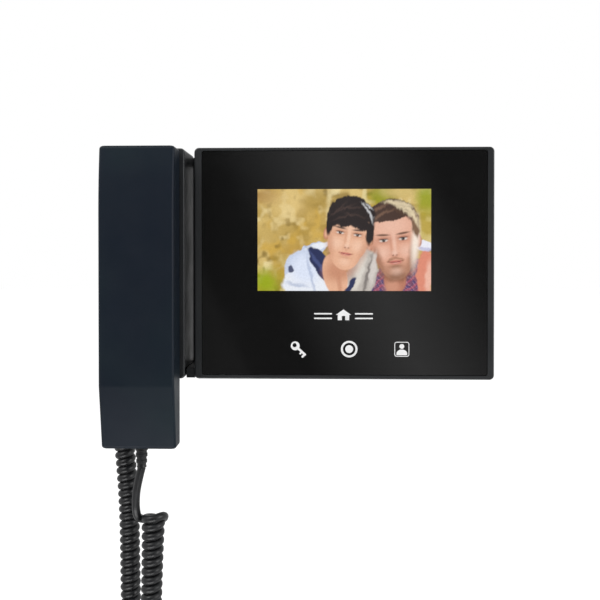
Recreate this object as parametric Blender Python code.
"""Video intercom monitor with a corded handset.

Frame: +Z up, +X to the right seen from the front, +Y into the wall.
The origin lies on the wall, behind the centre of the monitor.
All sizes below are in millimetres, and MM turns them into metres.
"""

import math

import bmesh
import bpy
from mathutils import Vector

MM = 0.001
GAP = 0.3  # clearance between touching pieces
WALL = 2.0  # general wall thickness of the plastic shells

# Layers, from the wall to the front
BRACKET_Y = (-1.5, 0.0)
COVER_Y = (-4.5, -1.8)
SHELL_BACK_Y = -4.8
WIRE_Z = -21.0  # height of the wire entry and the terminals
BOARD_Y = (-14.6, -13.0)
FRONT_Y = -35.0

# Monitor housing
MONITOR_X = (-83.9, 83.9)
MONITOR_Z = (-65.0, 65.0)
MONITOR_CORNER = 2.6
PANEL_X = (-79.4, 79.9)
PANEL_Z = (-62.5, 63.0)
PANEL_Y = (-34.8, -32.8)
TOUCH_KEYS_X = (-25.1, 3.2, 32.6)
TOUCH_KEYS_Z = -48.0
COVER_POSTS_X = (-66.0, 66.0)
COVER_POSTS_Z = (-58.7, 58.7)

# Cradle housing
CRADLE_X = (-135.7, -89.4)
CRADLE_Z = (-65.0, 64.8)
CRADLE_CORNER = 2.2
LIP = 2.8
BED_Y = -33.0
POCKET_X = (-130.3, -94.9)
POCKET_Z = (21.6, 60.6)
POCKET_Y = -26.5
CRADLE_POSTS_Z = (-56.0, 50.0)
GAP_SLOT_X = (-88.4, -84.4)  # keeps the space between the two housings open to the wall
GAP_SLOT_Z = (-59.0, 58.0)

# Handset
HANDSET_X = -112.6
HANDSET_HALF_WIDTH = 20.25
HANDSET_Z = (-100.7, 63.6)
HANDSET_FRONT_Y = -55.0
HANDSET_BACK_Y = -37.0
HANDSET_SPLIT_Y = -46.0
HANDSET_WALL = 1.8
CROWN_START_Z = 25.0  # above this the face leans back
CROWN_DROP = 2.4
CREASE_Z = -66.0  # below this the face slopes back
CREASE_DROP = 5.6
END_ROUNDING = 1.8
EDGE_ROUNDING = 1.6
EAR_BOSS_X = (-128.1, -97.1)
EAR_BOSS_Z = (25.0, 57.5)
EAR_BOSS_Y = -28.5
MOUTH_BOSS_Z = (-96.5, -70.0)
MOUTH_BOSS_Y = -29.2
HANDSET_SCREWS_Z = (-58.0, 14.0)

# Curly cord
CORD_D = 4.5
COIL_D = 12.2
HANDSET_EXIT = (-111.8, -43.5, -100.7)
BASE_EXIT = (-127.5, -20.0, -65.0)
BOOT_LENGTH = 12.0
BASE_BOOT_LENGTH = 9.0
FRONT_COIL_TOP = (-105.5, -42.0, -137.0)
FRONT_COIL_FOOT = (-106.5, -41.0, -200.0)
REAR_COIL_FOOT = (-123.5, -22.0, -200.0)
REAR_COIL_BEND = (-125.0, -20.0, -141.0)
REAR_COIL_TOP = (-127.5, -20.0, -86.0)
LEAD_ROUTE = (
    (-111.8, -43.5, -113.1),
    (-112.4, -43.5, -119.0),
    (-113.6, -43.4, -126.0),
    (-114.7, -43.1, -132.5),
    (-115.2, -42.8, -137.5),
    (-114.8, -42.5, -141.3),
    (-113.3, -42.2, -143.0),
)

# Controls on the right edge
WHEELS_Z = (24.0, 0.0, -24.0)
WHEEL_NAMES = ("brightness", "colour", "volume")
WHEEL_R = 8.0
WHEEL_X = 77.1
WHEEL_Y = (-20.9, -17.9)
SWITCH_Z = -43.5
SWITCH_Y = (-18.9, -16.3)

# Hook switch
HOOK_X = -112.6
HOOK_Z = -25.0


# ---------------------------------------------------------------- helpers


def clear_scene():
    for obj in list(bpy.data.objects):
        bpy.data.objects.remove(obj, do_unlink=True)


def make_material(name, colour, roughness, metallic=0.0):
    material = bpy.data.materials.new(name)
    material.use_nodes = True
    shader = material.node_tree.nodes["Principled BSDF"]
    shader.inputs["Base Color"].default_value = (*colour, 1.0)
    shader.inputs["Roughness"].default_value = roughness
    shader.inputs["Metallic"].default_value = metallic
    return material


def add_object(name, bm, material, pivot):
    """Turns a bmesh in millimetres, measured from its pivot, into an object in metres."""
    bmesh.ops.recalc_face_normals(bm, faces=bm.faces)
    bmesh.ops.scale(bm, vec=(MM, MM, MM), verts=bm.verts)
    mesh = bpy.data.meshes.new(name)
    bm.to_mesh(mesh)
    bm.free()
    mesh.shade_smooth()
    mesh.set_sharp_from_angle(angle=math.radians(35))
    mesh.materials.append(material)
    obj = bpy.data.objects.new(name, mesh)
    obj.location = Vector(pivot) * MM
    bpy.context.scene.collection.objects.link(obj)
    return obj


def loft(name, loops, material, pivot=(0, 0, 0)):
    """A closed solid through loops of equal length, capped at both ends."""
    bm = bmesh.new()
    rings = [[bm.verts.new(Vector(p) - Vector(pivot)) for p in loop] for loop in loops]
    for near, far in zip(rings, rings[1:]):
        for i in range(len(near)):
            j = (i + 1) % len(near)
            bm.faces.new((near[i], near[j], far[j], far[i]))
    bm.faces.new(list(reversed(rings[0])))
    bm.faces.new(rings[-1])
    return add_object(name, bm, material, pivot)


def rounded_rect(x_range, z_range, radius, steps=4):
    """Outline of a rectangle with round corners, as (x, z) points."""
    (x0, x1), (z0, z1) = x_range, z_range
    corners = (
        (x1 - radius, z1 - radius),
        (x0 + radius, z1 - radius),
        (x0 + radius, z0 + radius),
        (x1 - radius, z0 + radius),
    )
    points = []
    for quarter, (cx, cz) in enumerate(corners):
        for step in range(steps + 1):
            angle = math.radians(90 * (quarter + step / steps))
            points.append((cx + radius * math.cos(angle), cz + radius * math.sin(angle)))
    return points


def circle(cx, cz, radius, segments=20):
    turn = 2 * math.pi / segments
    return [(cx + radius * math.cos(turn * i), cz + radius * math.sin(turn * i)) for i in range(segments)]


def prism(name, outline, y_range, material, pivot=(0, 0, 0)):
    """A solid with an (x, z) outline between two depths."""
    loops = [[(x, y, z) for x, z in outline] for y in y_range]
    return loft(name, loops, material, pivot)


def box(name, x_range, y_range, z_range, material, pivot=(0, 0, 0)):
    (x0, x1), (z0, z1) = x_range, z_range
    return prism(name, [(x0, z0), (x1, z0), (x1, z1), (x0, z1)], y_range, material, pivot)


def rounded_block(name, x_range, z_range, y_range, corner, edge, material, pivot=(0, 0, 0)):
    """A block whose front edges are rounded; y_range runs from the front to the back."""
    front, back = y_range
    steps = 3
    loops = []
    for step in range(steps + 1):
        angle = math.radians(90 * step / steps)
        inset = edge * (1 - math.sin(angle))
        depth = front + edge * (1 - math.cos(angle))
        xs = (x_range[0] + inset, x_range[1] - inset)
        zs = (z_range[0] + inset, z_range[1] - inset)
        outline = rounded_rect(xs, zs, max(corner - inset, 0.4))
        loops.append([(x, depth, z) for x, z in outline])
    loops.append([(x, back, z) for x, z in rounded_rect(x_range, z_range, corner)])
    return loft(name, loops, material, pivot)


def turned(name, profile, centre, axis, material, segments=20, pivot=None):
    """A turned solid; the profile holds (distance along the axis, radius)."""
    along = Vector(axis).normalized()
    side = along.orthogonal().normalized()
    other = along.cross(side)
    turn = 2 * math.pi / segments
    loops = []
    for distance, radius in profile:
        middle = Vector(centre) + along * distance
        loop = []
        for i in range(segments):
            loop.append(middle + radius * (math.cos(turn * i) * side + math.sin(turn * i) * other))
        loops.append(loop)
    return loft(name, loops, material, centre if pivot is None else pivot)


def helix_solid(name, centre, length, coil_radius, wire_radius, turns, material):
    """A coil spring along +Y as one closed wire."""
    per_turn = 8
    sides = 5
    count = int(turns * per_turn)
    loops = []
    for i in range(count + 1):
        angle = 2 * math.pi * i / per_turn
        out = Vector((math.cos(angle), 0, math.sin(angle)))
        middle = Vector(centre) + coil_radius * out + Vector((0, length * i / count, 0))
        loop = []
        for k in range(sides):
            turn = 2 * math.pi * k / sides
            loop.append(middle + wire_radius * (math.cos(turn) * out + math.sin(turn) * Vector((0, 1, 0))))
        loops.append(loop)
    return loft(name, loops, material)


def combine(target, tool, operation):
    tool.hide_render = True
    tool.display_type = "WIRE"
    modifier = target.modifiers.new(tool.name, "BOOLEAN")
    modifier.operation = operation
    modifier.solver = "EXACT"
    modifier.object = tool


def cut(target, *tools):
    for tool in tools:
        combine(target, tool, "DIFFERENCE")


def fuse(target, *tools):
    for tool in tools:
        combine(target, tool, "UNION")


def post(name, x, z, y_range, radius, material):
    return prism(name, circle(x, z, radius, 12), y_range, material)


def smooth_route(points, spacing):
    """Points about one spacing apart on a smooth curve through the given points."""
    points = [Vector(p) for p in points]
    ends = [2 * points[0] - points[1], *points, 2 * points[-1] - points[-2]]
    route = []
    for a, b, c, d in zip(ends, ends[1:], ends[2:], ends[3:]):
        steps = max(1, round((c - b).length / spacing))
        for i in range(steps):
            t = i / steps
            square = 2 * a - 5 * b + 4 * c - d
            cube = 3 * b - a - 3 * c + d
            route.append(0.5 * (2 * b + (c - a) * t + square * t**2 + cube * t**3))
    route.append(points[-1])
    return route


def tube(name, route, diameter, material, bevel_resolution=2):
    curve = bpy.data.curves.new(name, "CURVE")
    curve.dimensions = "3D"
    curve.bevel_depth = diameter / 2 * MM
    curve.bevel_resolution = bevel_resolution
    curve.use_fill_caps = True
    spline = curve.splines.new("POLY")
    spline.points.add(len(route) - 1)
    for point, place in zip(spline.points, route):
        point.co = (*(Vector(place) * MM), 1.0)
    curve.materials.append(material)
    obj = bpy.data.objects.new(name, curve)
    bpy.context.scene.collection.objects.link(obj)
    return obj


def screw(name, x, z, head_y, head_depth, head_r, tip_y, shank_r, material, forward=-1, cross=False):
    """A pan-head screw along Y; head_y is the outer face of its head."""
    length = abs(tip_y - head_y)
    profile = ((0.0, head_r), (head_depth, head_r), (head_depth + 0.01, shank_r), (length, shank_r))
    body = turned(name, profile, (x, head_y, z), (0, forward, 0), material, 12)
    if not cross:
        return body
    slot_y = sorted((head_y - forward * 0.5, head_y + forward * head_depth * 0.55))
    for tag, half_x, half_z in (("a", head_r * 0.55, 0.3), ("b", 0.3, head_r * 0.55)):
        cross_x, cross_z = (x - half_x, x + half_x), (z - half_z, z + half_z)
        cut(body, box(f"{name}_cross_{tag}", cross_x, slot_y, cross_z, material))
    return body


# ---------------------------------------------------------------- materials


def make_materials():
    return {
        "black_plastic": make_material("black_plastic", (0.022, 0.024, 0.027), 0.5),
        "handset_plastic": make_material("handset_plastic", (0.016, 0.021, 0.029), 0.45),
        "panel_gloss": make_material("panel_gloss", (0.008, 0.008, 0.008), 0.08),
        "screen_glass": make_material("screen_glass", (0.03, 0.03, 0.035), 0.1),
        "white_plastic": make_material("white_plastic", (0.7, 0.7, 0.68), 0.5),
        "steel": make_material("steel", (0.55, 0.56, 0.58), 0.35, 1.0),
        "board": make_material("board", (0.02, 0.16, 0.07), 0.55),
        "control_plastic": make_material("control_plastic", (0.04, 0.04, 0.045), 0.6),
        "terminal_plastic": make_material("terminal_plastic", (0.03, 0.12, 0.05), 0.5),
        "cord_plastic": make_material("cord_plastic", (0.012, 0.012, 0.013), 0.4),
        "rubber": make_material("rubber", (0.015, 0.015, 0.015), 0.8),
        "cone": make_material("cone", (0.03, 0.03, 0.03), 0.8),
    }


# ---------------------------------------------------------------- wall side


def make_wall_bracket(mats):
    steel = mats["steel"]
    plate = prism("wall_bracket", rounded_rect((-60, 60), (-42, 42), 4), BRACKET_Y, steel)
    window = rounded_rect((-25, 25), (WIRE_Z - 17, WIRE_Z + 17), 3)
    cut(plate, prism("bracket_window", window, (-3, 1), steel))
    for x in (-50, 50):
        for z in (-34, 34):
            hole = rounded_rect((x - 2.2, x + 2.2), (z - 4, z + 4), 2.1, 2)
            cut(plate, prism(f"bracket_hole_{x}_{z}", hole, (-3, 1), steel))
    for x in (-38, 38):
        for z in (22, -30):
            neck = box(f"hook_neck_{x}_{z}", (x - 4, x + 4), (-6.3, -1.0), (z - 1.5, z), steel)
            tab = box(f"hook_tab_{x}_{z}", (x - 4, x + 4), (-6.3, -4.9), (z - 1.5, z + 5), steel)
            fuse(plate, neck, tab)
    return plate


def make_rear_cover(mats):
    plastic = mats["black_plastic"]
    x_range = (CRADLE_X[0] + 1.6, MONITOR_X[1] - 1.6)
    z_range = (MONITOR_Z[0] + 1.6, CRADLE_Z[1] - 1.6)
    cover = prism("rear_cover", rounded_rect(x_range, z_range, 2.0), COVER_Y, plastic)
    duct = box("duct_body", (-94.0, -79.8), (-11.0, -4.0), (-62.3, -59.5), plastic)
    tongue_x = (CRADLE_X[1] + GAP, MONITOR_X[0] - GAP)
    tongue = box("gap_tongue", tongue_x, (-31.0, -4.0), (MONITOR_Z[0], -59.5), plastic)
    fuse(cover, duct, tongue)
    for i, (x, z) in enumerate(((-62, 44), (-62, -46), (62, 44), (66, -47))):
        pillar = post(f"board_post_{i}", x, z, (BOARD_Y[1] + GAP, -4.0), 3.0, plastic)
        fuse(cover, pillar)
        cut(cover, post(f"board_post_bore_{i}", x, z, (-16.0, -6.5), 1.45, plastic))
    for i, (x, z) in enumerate(((-126, -20), (-99, -20))):
        pillar = post(f"hook_post_{i}", x, z, (BOARD_Y[1] + GAP, -4.0), 2.6, plastic)
        fuse(cover, pillar)
        cut(cover, post(f"hook_post_bore_{i}", x, z, (-16.0, -6.5), 1.25, plastic))
    cut(cover, box("duct_bore", (-96, -78), (-9.7, -5.5), (-61.7, -60.1), plastic))
    cut(cover, prism("gap_slot", rounded_rect(GAP_SLOT_X, GAP_SLOT_Z, 1.5), (-6, 0), plastic))
    window = rounded_rect((-22, 22), (WIRE_Z - 15, WIRE_Z + 15), 2)
    cut(cover, prism("terminal_window", window, (-6, 0), plastic))
    for x in (-38, 38):
        for z in (22, -30):
            cut(cover, box(f"hook_slot_{x}_{z}", (x - 5, x + 5), (-6, 0), (z - 8, z + GAP), plastic))
    for x, z in cover_screw_places():
        cut(cover, post(f"cover_bore_{x}_{z}", x, z, (-6, 0), 1.8, plastic))
        cut(cover, post(f"cover_sink_{x}_{z}", x, z, (COVER_Y[1] - 1.4, 0), 3.5, plastic))
    for i in range(7):
        x = 48 + 4 * i
        slot = rounded_rect((x - 0.9, x + 0.9), (-38, -18), 0.85, 2)
        cut(cover, prism(f"sound_slot_{i}", slot, (-6, 0), plastic))
    for i in range(8):
        x = -28 + 8 * i
        slot = rounded_rect((x - 1.1, x + 1.1), (46, 57), 1.0, 2)
        cut(cover, prism(f"vent_slot_{i}", slot, (-6, 0), plastic))
    return cover


def cover_screw_places():
    places = [(x, z) for x in COVER_POSTS_X for z in COVER_POSTS_Z]
    return places + [(HANDSET_X, z) for z in CRADLE_POSTS_Z]


def make_cover_screws(mats):
    for i, (x, z) in enumerate(cover_screw_places()):
        screw(f"cover_screw_{i + 1}", x, z, -1.95, 1.0, 3.0, -12.4, 1.4, mats["steel"], cross=True)


# ---------------------------------------------------------------- monitor


def make_front_housing(mats):
    plastic = mats["black_plastic"]
    housing = rounded_block(
        "front_housing", MONITOR_X, MONITOR_Z, (FRONT_Y, SHELL_BACK_Y), MONITOR_CORNER, 0.9, plastic
    )
    pocket_x = (PANEL_X[0] - GAP, PANEL_X[1] + GAP)
    pocket_z = (PANEL_Z[0] - GAP, PANEL_Z[1] + GAP)
    through_x = (pocket_x[0] + 3, pocket_x[1] - 3)
    through_z = (pocket_z[0] + 3, pocket_z[1] - 3)
    cavity_x = (MONITOR_X[0] + WALL, MONITOR_X[1] - WALL)
    cavity_z = (MONITOR_Z[0] + WALL, MONITOR_Z[1] - WALL)
    cut(
        housing,
        prism("panel_pocket", rounded_rect(pocket_x, pocket_z, 1.4), (-37, -32.5), plastic),
        prism("panel_opening", rounded_rect(through_x, through_z, 1.0), (-33, -30), plastic),
        prism("monitor_cavity", rounded_rect(cavity_x, cavity_z, 1.2), (-31.0, -4), plastic),
    )
    for x in COVER_POSTS_X:
        for z in COVER_POSTS_Z:
            fuse(housing, post(f"housing_post_{x}_{z}", x, z, (-31.6, SHELL_BACK_Y), 3.4, plastic))
            cut(housing, post(f"housing_post_bore_{x}_{z}", x, z, (-15, -4), 1.7, plastic))
    for name, z in zip(WHEEL_NAMES, WHEELS_Z):
        slot_y = (WHEEL_Y[0] - 0.5, WHEEL_Y[1] + 0.5)
        cut(housing, box(f"{name}_slot", (80, 86), slot_y, (z - 7.4, z + 7.4), plastic))
    switch_slot_y = (SWITCH_Y[0] - 0.4, SWITCH_Y[1] + 0.4)
    cut(housing, box("switch_slot", (80, 86), switch_slot_y, (-45.6, -38.4), plastic))
    cut(housing, box("duct_slot", (-86, -80), (-11.4, -4), (-62.7, -59.1), plastic))
    return housing


def make_front_panel(mats):
    return prism("front_panel", rounded_rect(PANEL_X, PANEL_Z, 1.2), PANEL_Y, mats["panel_gloss"])


def make_screen(mats):
    module = box("lcd_module", (-51.7, 52.3), (-32.4, -29.6), (-20.4, 45.6), mats["screen_glass"])
    backlight = box("lcd_backlight", (-50.7, 51.3), (-29.3, -26.9), (-19.4, 44.6), mats["white_plastic"])
    steel = mats["steel"]
    retainer = prism("lcd_retainer", rounded_rect((-58, 59), (-25, 51), 2), (-26.6, -25.6), steel)
    cut(retainer, prism("retainer_window", rounded_rect((-40, 41), (-12, 38), 3), (-28, -24), steel))
    for x in (-56, 57):
        leg = box(f"retainer_leg_{x}", (x - 2, x + 2), (-30.8, -26.0), (-25, 51), steel)
        fuse(retainer, leg)
    return module, backlight, retainer


def make_touch_keys(mats):
    board = prism("touch_board", rounded_rect((-42, 49), (-57, -39), 1.5), (-31.2, -30.0), mats["board"])
    for i, x in enumerate(TOUCH_KEYS_X):
        outline = circle(x, TOUCH_KEYS_Z, 5.0, 20)
        prism(f"touch_electrode_{i + 1}", outline, (-32.5, -31.5), mats["steel"])
    return board


def make_main_board(mats):
    outline = rounded_rect((-70, 81.2), (-52, 52), 2)
    board = prism("main_board", outline, BOARD_Y, mats["board"])
    chips = (
        ("processor", (-30, -12), (-2, 16), 1.6),
        ("memory", (-2, 10), (2, 12), 1.4),
        ("power_coil", (20, 34), (-20, -6), 6.0),
        ("capacitor", (42, 52), (20, 30), 7.0),
    )
    for name, x_range, z_range, height in chips:
        chip = box(name, x_range, (BOARD_Y[0] - height, BOARD_Y[0] + 0.5), z_range, mats["board"])
        fuse(board, chip)
    for i, (x, z) in enumerate(((-62, 44), (-62, -46), (62, 44), (66, -47))):
        cut(board, post(f"board_hole_{i}", x, z, (-20, -10), 1.7, mats["board"]))
        screw(f"board_screw_{i + 1}", x, z, -16.4, 1.5, 2.7, -7.2, 1.15, mats["steel"], forward=1)
    return board


def make_terminal_block(mats):
    plastic = mats["terminal_plastic"]
    block_z = (WIRE_Z - 6.5, WIRE_Z + 6.5)
    block = box("terminal_block", (-16, 16), (BOARD_Y[1] + GAP, -5.4), block_z, plastic)
    for i in range(4):
        x = -12 + 8 * i
        cut(block, post(f"terminal_well_{i}", x, WIRE_Z, (-10.4, -4), 2.3, plastic))
        entry_z = (WIRE_Z - 8, WIRE_Z - 1)
        cut(block, box(f"wire_entry_{i}", (x - 1.6, x + 1.6), (-11.6, -8.6), entry_z, plastic))
        screw(f"terminal_screw_{i + 1}", x, WIRE_Z, -6.6, 1.2, 1.9, -10.1, 1.0, mats["steel"])
    return block


def make_chime_speaker(mats):
    profile = ((0.0, 15.0), (1.4, 15.0), (1.5, 13.4), (3.6, 9.0), (3.7, 8.0), (6.6, 8.0))
    speaker = turned("chime_speaker", profile, (60, -5.2, -28), (0, -1, 0), mats["cone"], 18)
    dish = turned("chime_dish", ((-1.0, 12.6), (1.0, 7.0)), (60, -5.2, -28), (0, -1, 0), mats["cone"], 18)
    cut(speaker, dish)
    return speaker


def make_controls(mats):
    for name, z in zip(WHEEL_NAMES, WHEELS_Z):
        teeth = 24
        outline = []
        for i in range(2 * teeth):
            radius = WHEEL_R if i % 2 == 0 else WHEEL_R - 0.5
            angle = math.pi * i / teeth
            outline.append((WHEEL_X + radius * math.cos(angle), z + radius * math.sin(angle)))
        pivot = (WHEEL_X, (WHEEL_Y[0] + WHEEL_Y[1]) / 2, z)
        prism(f"{name}_wheel", outline, WHEEL_Y, mats["control_plastic"], pivot)
        pot_y = (WHEEL_Y[1] + GAP, BOARD_Y[0] - GAP)
        box(f"{name}_pot", (WHEEL_X - 4, WHEEL_X + 4), pot_y, (z - 4, z + 4), mats["terminal_plastic"])
    body_z = (SWITCH_Z - 3.5, SWITCH_Z + 7.5)
    box("power_switch_body", (74.5, 81.2), (SWITCH_Y[0] - 1.0, BOARD_Y[0] - GAP), body_z, mats["steel"])
    knob_z = (SWITCH_Z - 1.5, SWITCH_Z + 1.5)
    box("power_switch_knob", (81.5, 85.0), SWITCH_Y, knob_z, mats["control_plastic"], (83, -17.6, SWITCH_Z))


# ---------------------------------------------------------------- cradle


def make_cradle_shell(mats):
    plastic = mats["black_plastic"]
    shell = rounded_block(
        "cradle_shell", CRADLE_X, CRADLE_Z, (FRONT_Y, SHELL_BACK_Y), CRADLE_CORNER, 0.9, plastic
    )
    bed_x = (CRADLE_X[0] + LIP, CRADLE_X[1] - LIP)
    bed_z = (CRADLE_Z[0] + LIP, CRADLE_Z[1] - LIP)
    inner_x = (CRADLE_X[0] + WALL, CRADLE_X[1] - WALL)
    inner_z = (CRADLE_Z[0] + WALL, CRADLE_Z[1] - WALL)
    cut(
        shell,
        prism("cradle_bed", rounded_rect(bed_x, bed_z, 1.2), (-37, BED_Y), plastic),
        prism("ear_pocket", rounded_rect(POCKET_X, POCKET_Z, 8.0), (-36, POCKET_Y), plastic),
        prism("cradle_cavity", rounded_rect(inner_x, (inner_z[0], 19.4), 1.0), (BED_Y + WALL, -4), plastic),
        prism("pocket_cavity", rounded_rect(inner_x, inner_z, 1.0), (POCKET_Y + WALL, -3.5), plastic),
    )
    for z, front in zip(CRADLE_POSTS_Z, (BED_Y + 1.0, POCKET_Y + 1.0)):
        fuse(shell, post(f"cradle_post_{z}", HANDSET_X, z, (front, SHELL_BACK_Y), 3.4, plastic))
        cut(shell, post(f"cradle_post_bore_{z}", HANDSET_X, z, (-15, -4), 1.7, plastic))
    plunger_hole = rounded_rect((HOOK_X - 4.9, HOOK_X + 4.9), (HOOK_Z - 3.4, HOOK_Z + 3.4), 1.5)
    cut(shell, prism("plunger_hole", plunger_hole, (-37, -29), plastic))
    cord_hole = turned("base_cord_hole", ((-3, 3.8), (5, 3.8)), BASE_EXIT, (0, 0, 1), plastic, 16)
    through_side = (CRADLE_X[1] - WALL - 1, CRADLE_X[1] + 1)
    side_slot = box("cable_slot", through_side, (-34.2, -4), (-62.7, -59.1), plastic)
    rim_notch = box("cable_notch", through_side, (-12.0, -3), (-67, -61), plastic)
    cut(shell, cord_hole, side_slot, rim_notch)
    return shell


def make_hook_switch(mats):
    plastic = mats["control_plastic"]
    tip_y = HANDSET_BACK_Y + GAP
    pivot = (HOOK_X, tip_y, HOOK_Z)
    head = rounded_rect((HOOK_X - 4.5, HOOK_X + 4.5), (HOOK_Z - 3.0, HOOK_Z + 3.0), 1.3)
    plunger = prism("hook_plunger", head, (tip_y, -26.5), plastic, pivot)
    flange = rounded_rect((HOOK_X - 6.5, HOOK_X + 6.5), (HOOK_Z - 5.0, HOOK_Z + 5.0), 1.0)
    fuse(plunger, prism("plunger_flange", flange, (-27.3, -26.0), plastic))
    fuse(plunger, post("plunger_stem", HOOK_X, HOOK_Z, (-27.0, -18.0), 1.5, plastic))
    helix_solid("hook_spring", (HOOK_X, -25.0, HOOK_Z), 9.4, 2.6, 0.35, 6, mats["steel"])
    outline = rounded_rect((-130, -95), (-40, -10), 1.5)
    board = prism("hook_board", outline, BOARD_Y, mats["board"])
    for i, (x, z) in enumerate(((-126, -20), (-99, -20))):
        cut(board, post(f"hook_board_hole_{i}", x, z, (-20, -10), 1.5, mats["board"]))
        screw(f"hook_board_screw_{i + 1}", x, z, -16.2, 1.3, 2.4, -7.2, 1.0, mats["steel"], forward=1)
    switch_y = (-22.0, BOARD_Y[0] - GAP)
    switch = box("hook_microswitch", (-122, -116.5), switch_y, (-33.5, -16.5), mats["terminal_plastic"])
    fuse(switch, box("switch_lever", (-120.5, -117.5), (-23.0, -21.0), (-31, -22), mats["steel"]))
    return plunger, board, switch


def make_link_cable(mats):
    return box("link_cable", (-99, -73), (-9.3, -5.9), (-61.4, -60.4), mats["cord_plastic"])


# ---------------------------------------------------------------- handset


def handset_front(z):
    """Depth of the handset's face at height z."""
    if z > CROWN_START_Z:
        share = (z - CROWN_START_Z) / (HANDSET_Z[1] - CROWN_START_Z)
        return HANDSET_FRONT_Y + CROWN_DROP * share**2
    if z < CREASE_Z:
        return HANDSET_FRONT_Y + CREASE_DROP * (CREASE_Z - z) / (CREASE_Z - HANDSET_Z[0])
    return HANDSET_FRONT_Y


def handset_solid(name, inset, material):
    """The whole handset's form, or its hollow when inset by the wall thickness."""
    stations = []
    steps = 4
    for step in range(steps + 1):
        angle = math.radians(90 * step / steps)
        stations.append((HANDSET_Z[1] - inset - END_ROUNDING * (1 - math.cos(angle)), 1 - math.sin(angle)))
    for z in (50.0, 38.0, CROWN_START_Z, CREASE_Z + 1.5, CREASE_Z, CREASE_Z - 1.5):
        stations.append((z, 0.0))
    for step in reversed(range(steps + 1)):
        angle = math.radians(90 * step / steps)
        stations.append((HANDSET_Z[0] + inset + END_ROUNDING * (1 - math.cos(angle)), 1 - math.sin(angle)))
    loops = []
    for z, pinch in stations:
        half = HANDSET_HALF_WIDTH - inset - END_ROUNDING * pinch
        front = handset_front(z) + inset + EDGE_ROUNDING * pinch
        back = HANDSET_BACK_Y - inset - EDGE_ROUNDING * pinch
        radius = max(EDGE_ROUNDING - inset, 0.5)
        outline = rounded_rect((HANDSET_X - half, HANDSET_X + half), (front, back), radius, 3)
        loops.append([(x, y, z) for x, y in outline])
    return loft(name, loops, material)


def half_space(name, y_range, material):
    return box(name, (-150, -75), y_range, (-120, 80), material)


def handset_cord_hole(name, material):
    return turned(name, ((-3, 3.8), (4, 3.8)), HANDSET_EXIT, (0, 0, 1), material, 16)


def make_handset_outer(mats):
    plastic = mats["handset_plastic"]
    shell = handset_solid("handset_outer_shell", 0.0, plastic)
    cut(
        shell,
        half_space("outer_trim", (HANDSET_SPLIT_Y - GAP / 2, -30), plastic),
        handset_solid("outer_hollow", HANDSET_WALL, plastic),
        handset_cord_hole("outer_cord_hole", plastic),
    )
    for z in HANDSET_SCREWS_Z:
        fuse(shell, post(f"handset_post_{z}", HANDSET_X, z, (HANDSET_FRONT_Y + 1.0, -39.2), 3.0, plastic))
        cut(shell, post(f"handset_post_bore_{z}", HANDSET_X, z, (-50, -38), 1.45, plastic))
    return shell


def make_handset_inner(mats):
    plastic = mats["handset_plastic"]
    shell = handset_solid("handset_inner_shell", 0.0, plastic)
    cut(shell, half_space("inner_trim", (-60, HANDSET_SPLIT_Y + GAP / 2), plastic))
    bosses = (("ear", EAR_BOSS_Z, EAR_BOSS_Y), ("mouth", MOUTH_BOSS_Z, MOUTH_BOSS_Y))
    for name, z_range, y_end in bosses:
        fuse(shell, boss(f"{name}_boss", z_range, (HANDSET_BACK_Y - 1.0, y_end), 0.0, plastic))
    cut(shell, handset_solid("inner_hollow", HANDSET_WALL, plastic))
    for name, z_range, y_end in bosses:
        cut(shell, boss(f"{name}_hollow", z_range, (-40, y_end - HANDSET_WALL), HANDSET_WALL, plastic))
    ear_z = sum(EAR_BOSS_Z) / 2
    for ring, count in ((0.0, 1), (4.0, 6), (7.6, 8)):
        for i in range(count):
            angle = 2 * math.pi * i / count
            x = HANDSET_X + ring * math.cos(angle)
            z = ear_z + ring * math.sin(angle)
            cut(shell, prism(f"ear_hole_{ring}_{i}", circle(x, z, 1.0, 6), (-32, -27), plastic))
    mouth_z = sum(MOUTH_BOSS_Z) / 2
    for i in range(3):
        z = mouth_z - 3 + 3 * i
        slit = rounded_rect((HANDSET_X - 5, HANDSET_X + 5), (z - 0.6, z + 0.6), 0.5, 1)
        cut(shell, prism(f"mouth_slit_{i}", slit, (-32, -28), plastic))
    for z in HANDSET_SCREWS_Z:
        cut(shell, post(f"inner_bore_{z}", HANDSET_X, z, (-40, -36), 1.6, plastic))
        cut(shell, post(f"inner_sink_{z}", HANDSET_X, z, (HANDSET_BACK_Y - 1.0, -36), 3.1, plastic))
    cut(shell, handset_cord_hole("inner_cord_hole", plastic))
    return shell


def make_handset_screws(mats):
    for i, z in enumerate(HANDSET_SCREWS_Z):
        name = f"handset_screw_{i + 1}"
        screw(name, HANDSET_X, z, -37.1, 0.75, 2.6, -46.5, 1.15, mats["steel"], cross=True)


def boss(name, z_range, y_range, inset, material):
    """A tapered block with round corners on the handset's inner side."""
    loops = []
    for y, taper in zip(y_range, (0.0, 1.0)):
        grow = -inset - taper
        xs = (EAR_BOSS_X[0] - grow, EAR_BOSS_X[1] + grow)
        zs = (z_range[0] - grow, z_range[1] + grow)
        loops.append([(x, y, z) for x, z in rounded_rect(xs, zs, 8.0 + grow)])
    return loft(name, loops, material)


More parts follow.
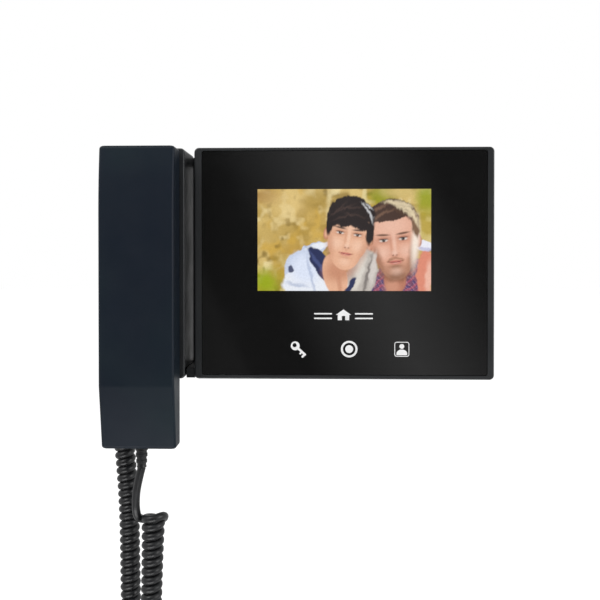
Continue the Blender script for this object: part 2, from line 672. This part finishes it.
def make_handset_insides(mats):
    ear_z = sum(EAR_BOSS_Z) / 2
    profile = ((0.0, 11.6), (1.5, 11.6), (1.6, 10.4), (4.6, 10.4), (4.7, 7.0), (6.0, 7.0))
    turned("receiver_capsule", profile, (HANDSET_X, -30.7, ear_z), (0, -1, 0), mats["cone"], 18)
    mouth_z = sum(MOUTH_BOSS_Z) / 2
    mic_centre = (HANDSET_X, -31.4, mouth_z)
    turned("microphone", ((1.2, 4.8), (7.0, 4.8)), mic_centre, (0, -1, 0), mats["steel"], 20)
    boot = turned("microphone_boot", ((0.0, 6.4), (5.6, 6.4)), mic_centre, (0, -1, 0), mats["rubber"], 20)
    cut(boot, turned("boot_hollow", ((0.9, 5.1), (8.0, 5.1)), mic_centre, (0, -1, 0), mats["rubber"], 20))
    cut(boot, turned("boot_port", ((-1.0, 1.5), (3.0, 1.5)), mic_centre, (0, -1, 0), mats["rubber"], 12))
    weight_x = (HANDSET_X - 11, HANDSET_X + 11)
    prism("handset_weight", rounded_rect(weight_x, (-48, 4), 2), (-52.9, -47.5), mats["steel"])
    prism("handset_board", rounded_rect(weight_x, (-92, -66), 1.5), (-47.2, -45.9), mats["board"])


# ---------------------------------------------------------------- cord


def ribbed_boot(name, exit_point, length, material):
    """A strain relief: a collar inside the wall, a neck and a tapered ribbed tail."""
    profile = [(4.6, 4.2), (3.4, 4.2), (3.3, 3.45), (-0.4, 3.45)]
    ribs = 3
    step = (length - 1.6) / ribs
    for i in range(ribs):
        top = -0.6 - step * i
        outer = 3.45 - 0.65 * i / ribs
        profile += [(top, outer), (top - 0.55 * step, outer)]
        profile += [(top - 0.6 * step, outer - 0.55), (top - step, outer - 0.55)]
    profile.append((-length, 2.6))
    return turned(name, profile, exit_point, (0, 0, 1), material, 12)


def loop_route():
    """Axis of the curly part: down in front, round a half circle and up behind."""
    front = Vector(FRONT_COIL_FOOT)
    rear = Vector(REAR_COIL_FOOT)
    middle = (front + rear) / 2
    out = (front - rear) / 2
    turn = []
    steps = 12
    for i in range(steps + 1):
        angle = math.pi * i / steps
        turn.append(middle + out * math.cos(angle) - Vector((0, 0, out.length)) * math.sin(angle))
    down = smooth_route((FRONT_COIL_TOP, FRONT_COIL_FOOT), 2 * COIL_D)[:-1]
    up = smooth_route((REAR_COIL_FOOT, REAR_COIL_BEND, REAR_COIL_TOP), 2 * COIL_D)[1:]
    return down + turn + up


def make_cord(mats):
    plastic = mats["cord_plastic"]
    ribbed_boot("handset_cord_boot", HANDSET_EXIT, BOOT_LENGTH, plastic)
    ribbed_boot("base_cord_boot", BASE_EXIT, BASE_BOOT_LENGTH, plastic)
    tube("handset_lead", smooth_route(LEAD_ROUTE, 2 * CORD_D), CORD_D, plastic)
    tube("curly_cord", loop_route(), COIL_D, plastic)
    top = Vector(BASE_EXIT) - Vector((0, 0, BASE_BOOT_LENGTH + GAP))
    end = Vector(REAR_COIL_TOP) + Vector((0, 0, GAP))
    tube("base_lead", smooth_route((top, end), 2 * CORD_D), CORD_D, plastic)


def main():
    clear_scene()
    mats = make_materials()
    make_wall_bracket(mats)
    make_rear_cover(mats)
    make_cover_screws(mats)
    make_front_housing(mats)
    make_front_panel(mats)
    make_screen(mats)
    make_touch_keys(mats)
    make_main_board(mats)
    make_terminal_block(mats)
    make_chime_speaker(mats)
    make_controls(mats)
    make_cradle_shell(mats)
    make_hook_switch(mats)
    make_link_cable(mats)
    make_handset_outer(mats)
    make_handset_inner(mats)
    make_handset_screws(mats)
    make_handset_insides(mats)
    make_cord(mats)


main()
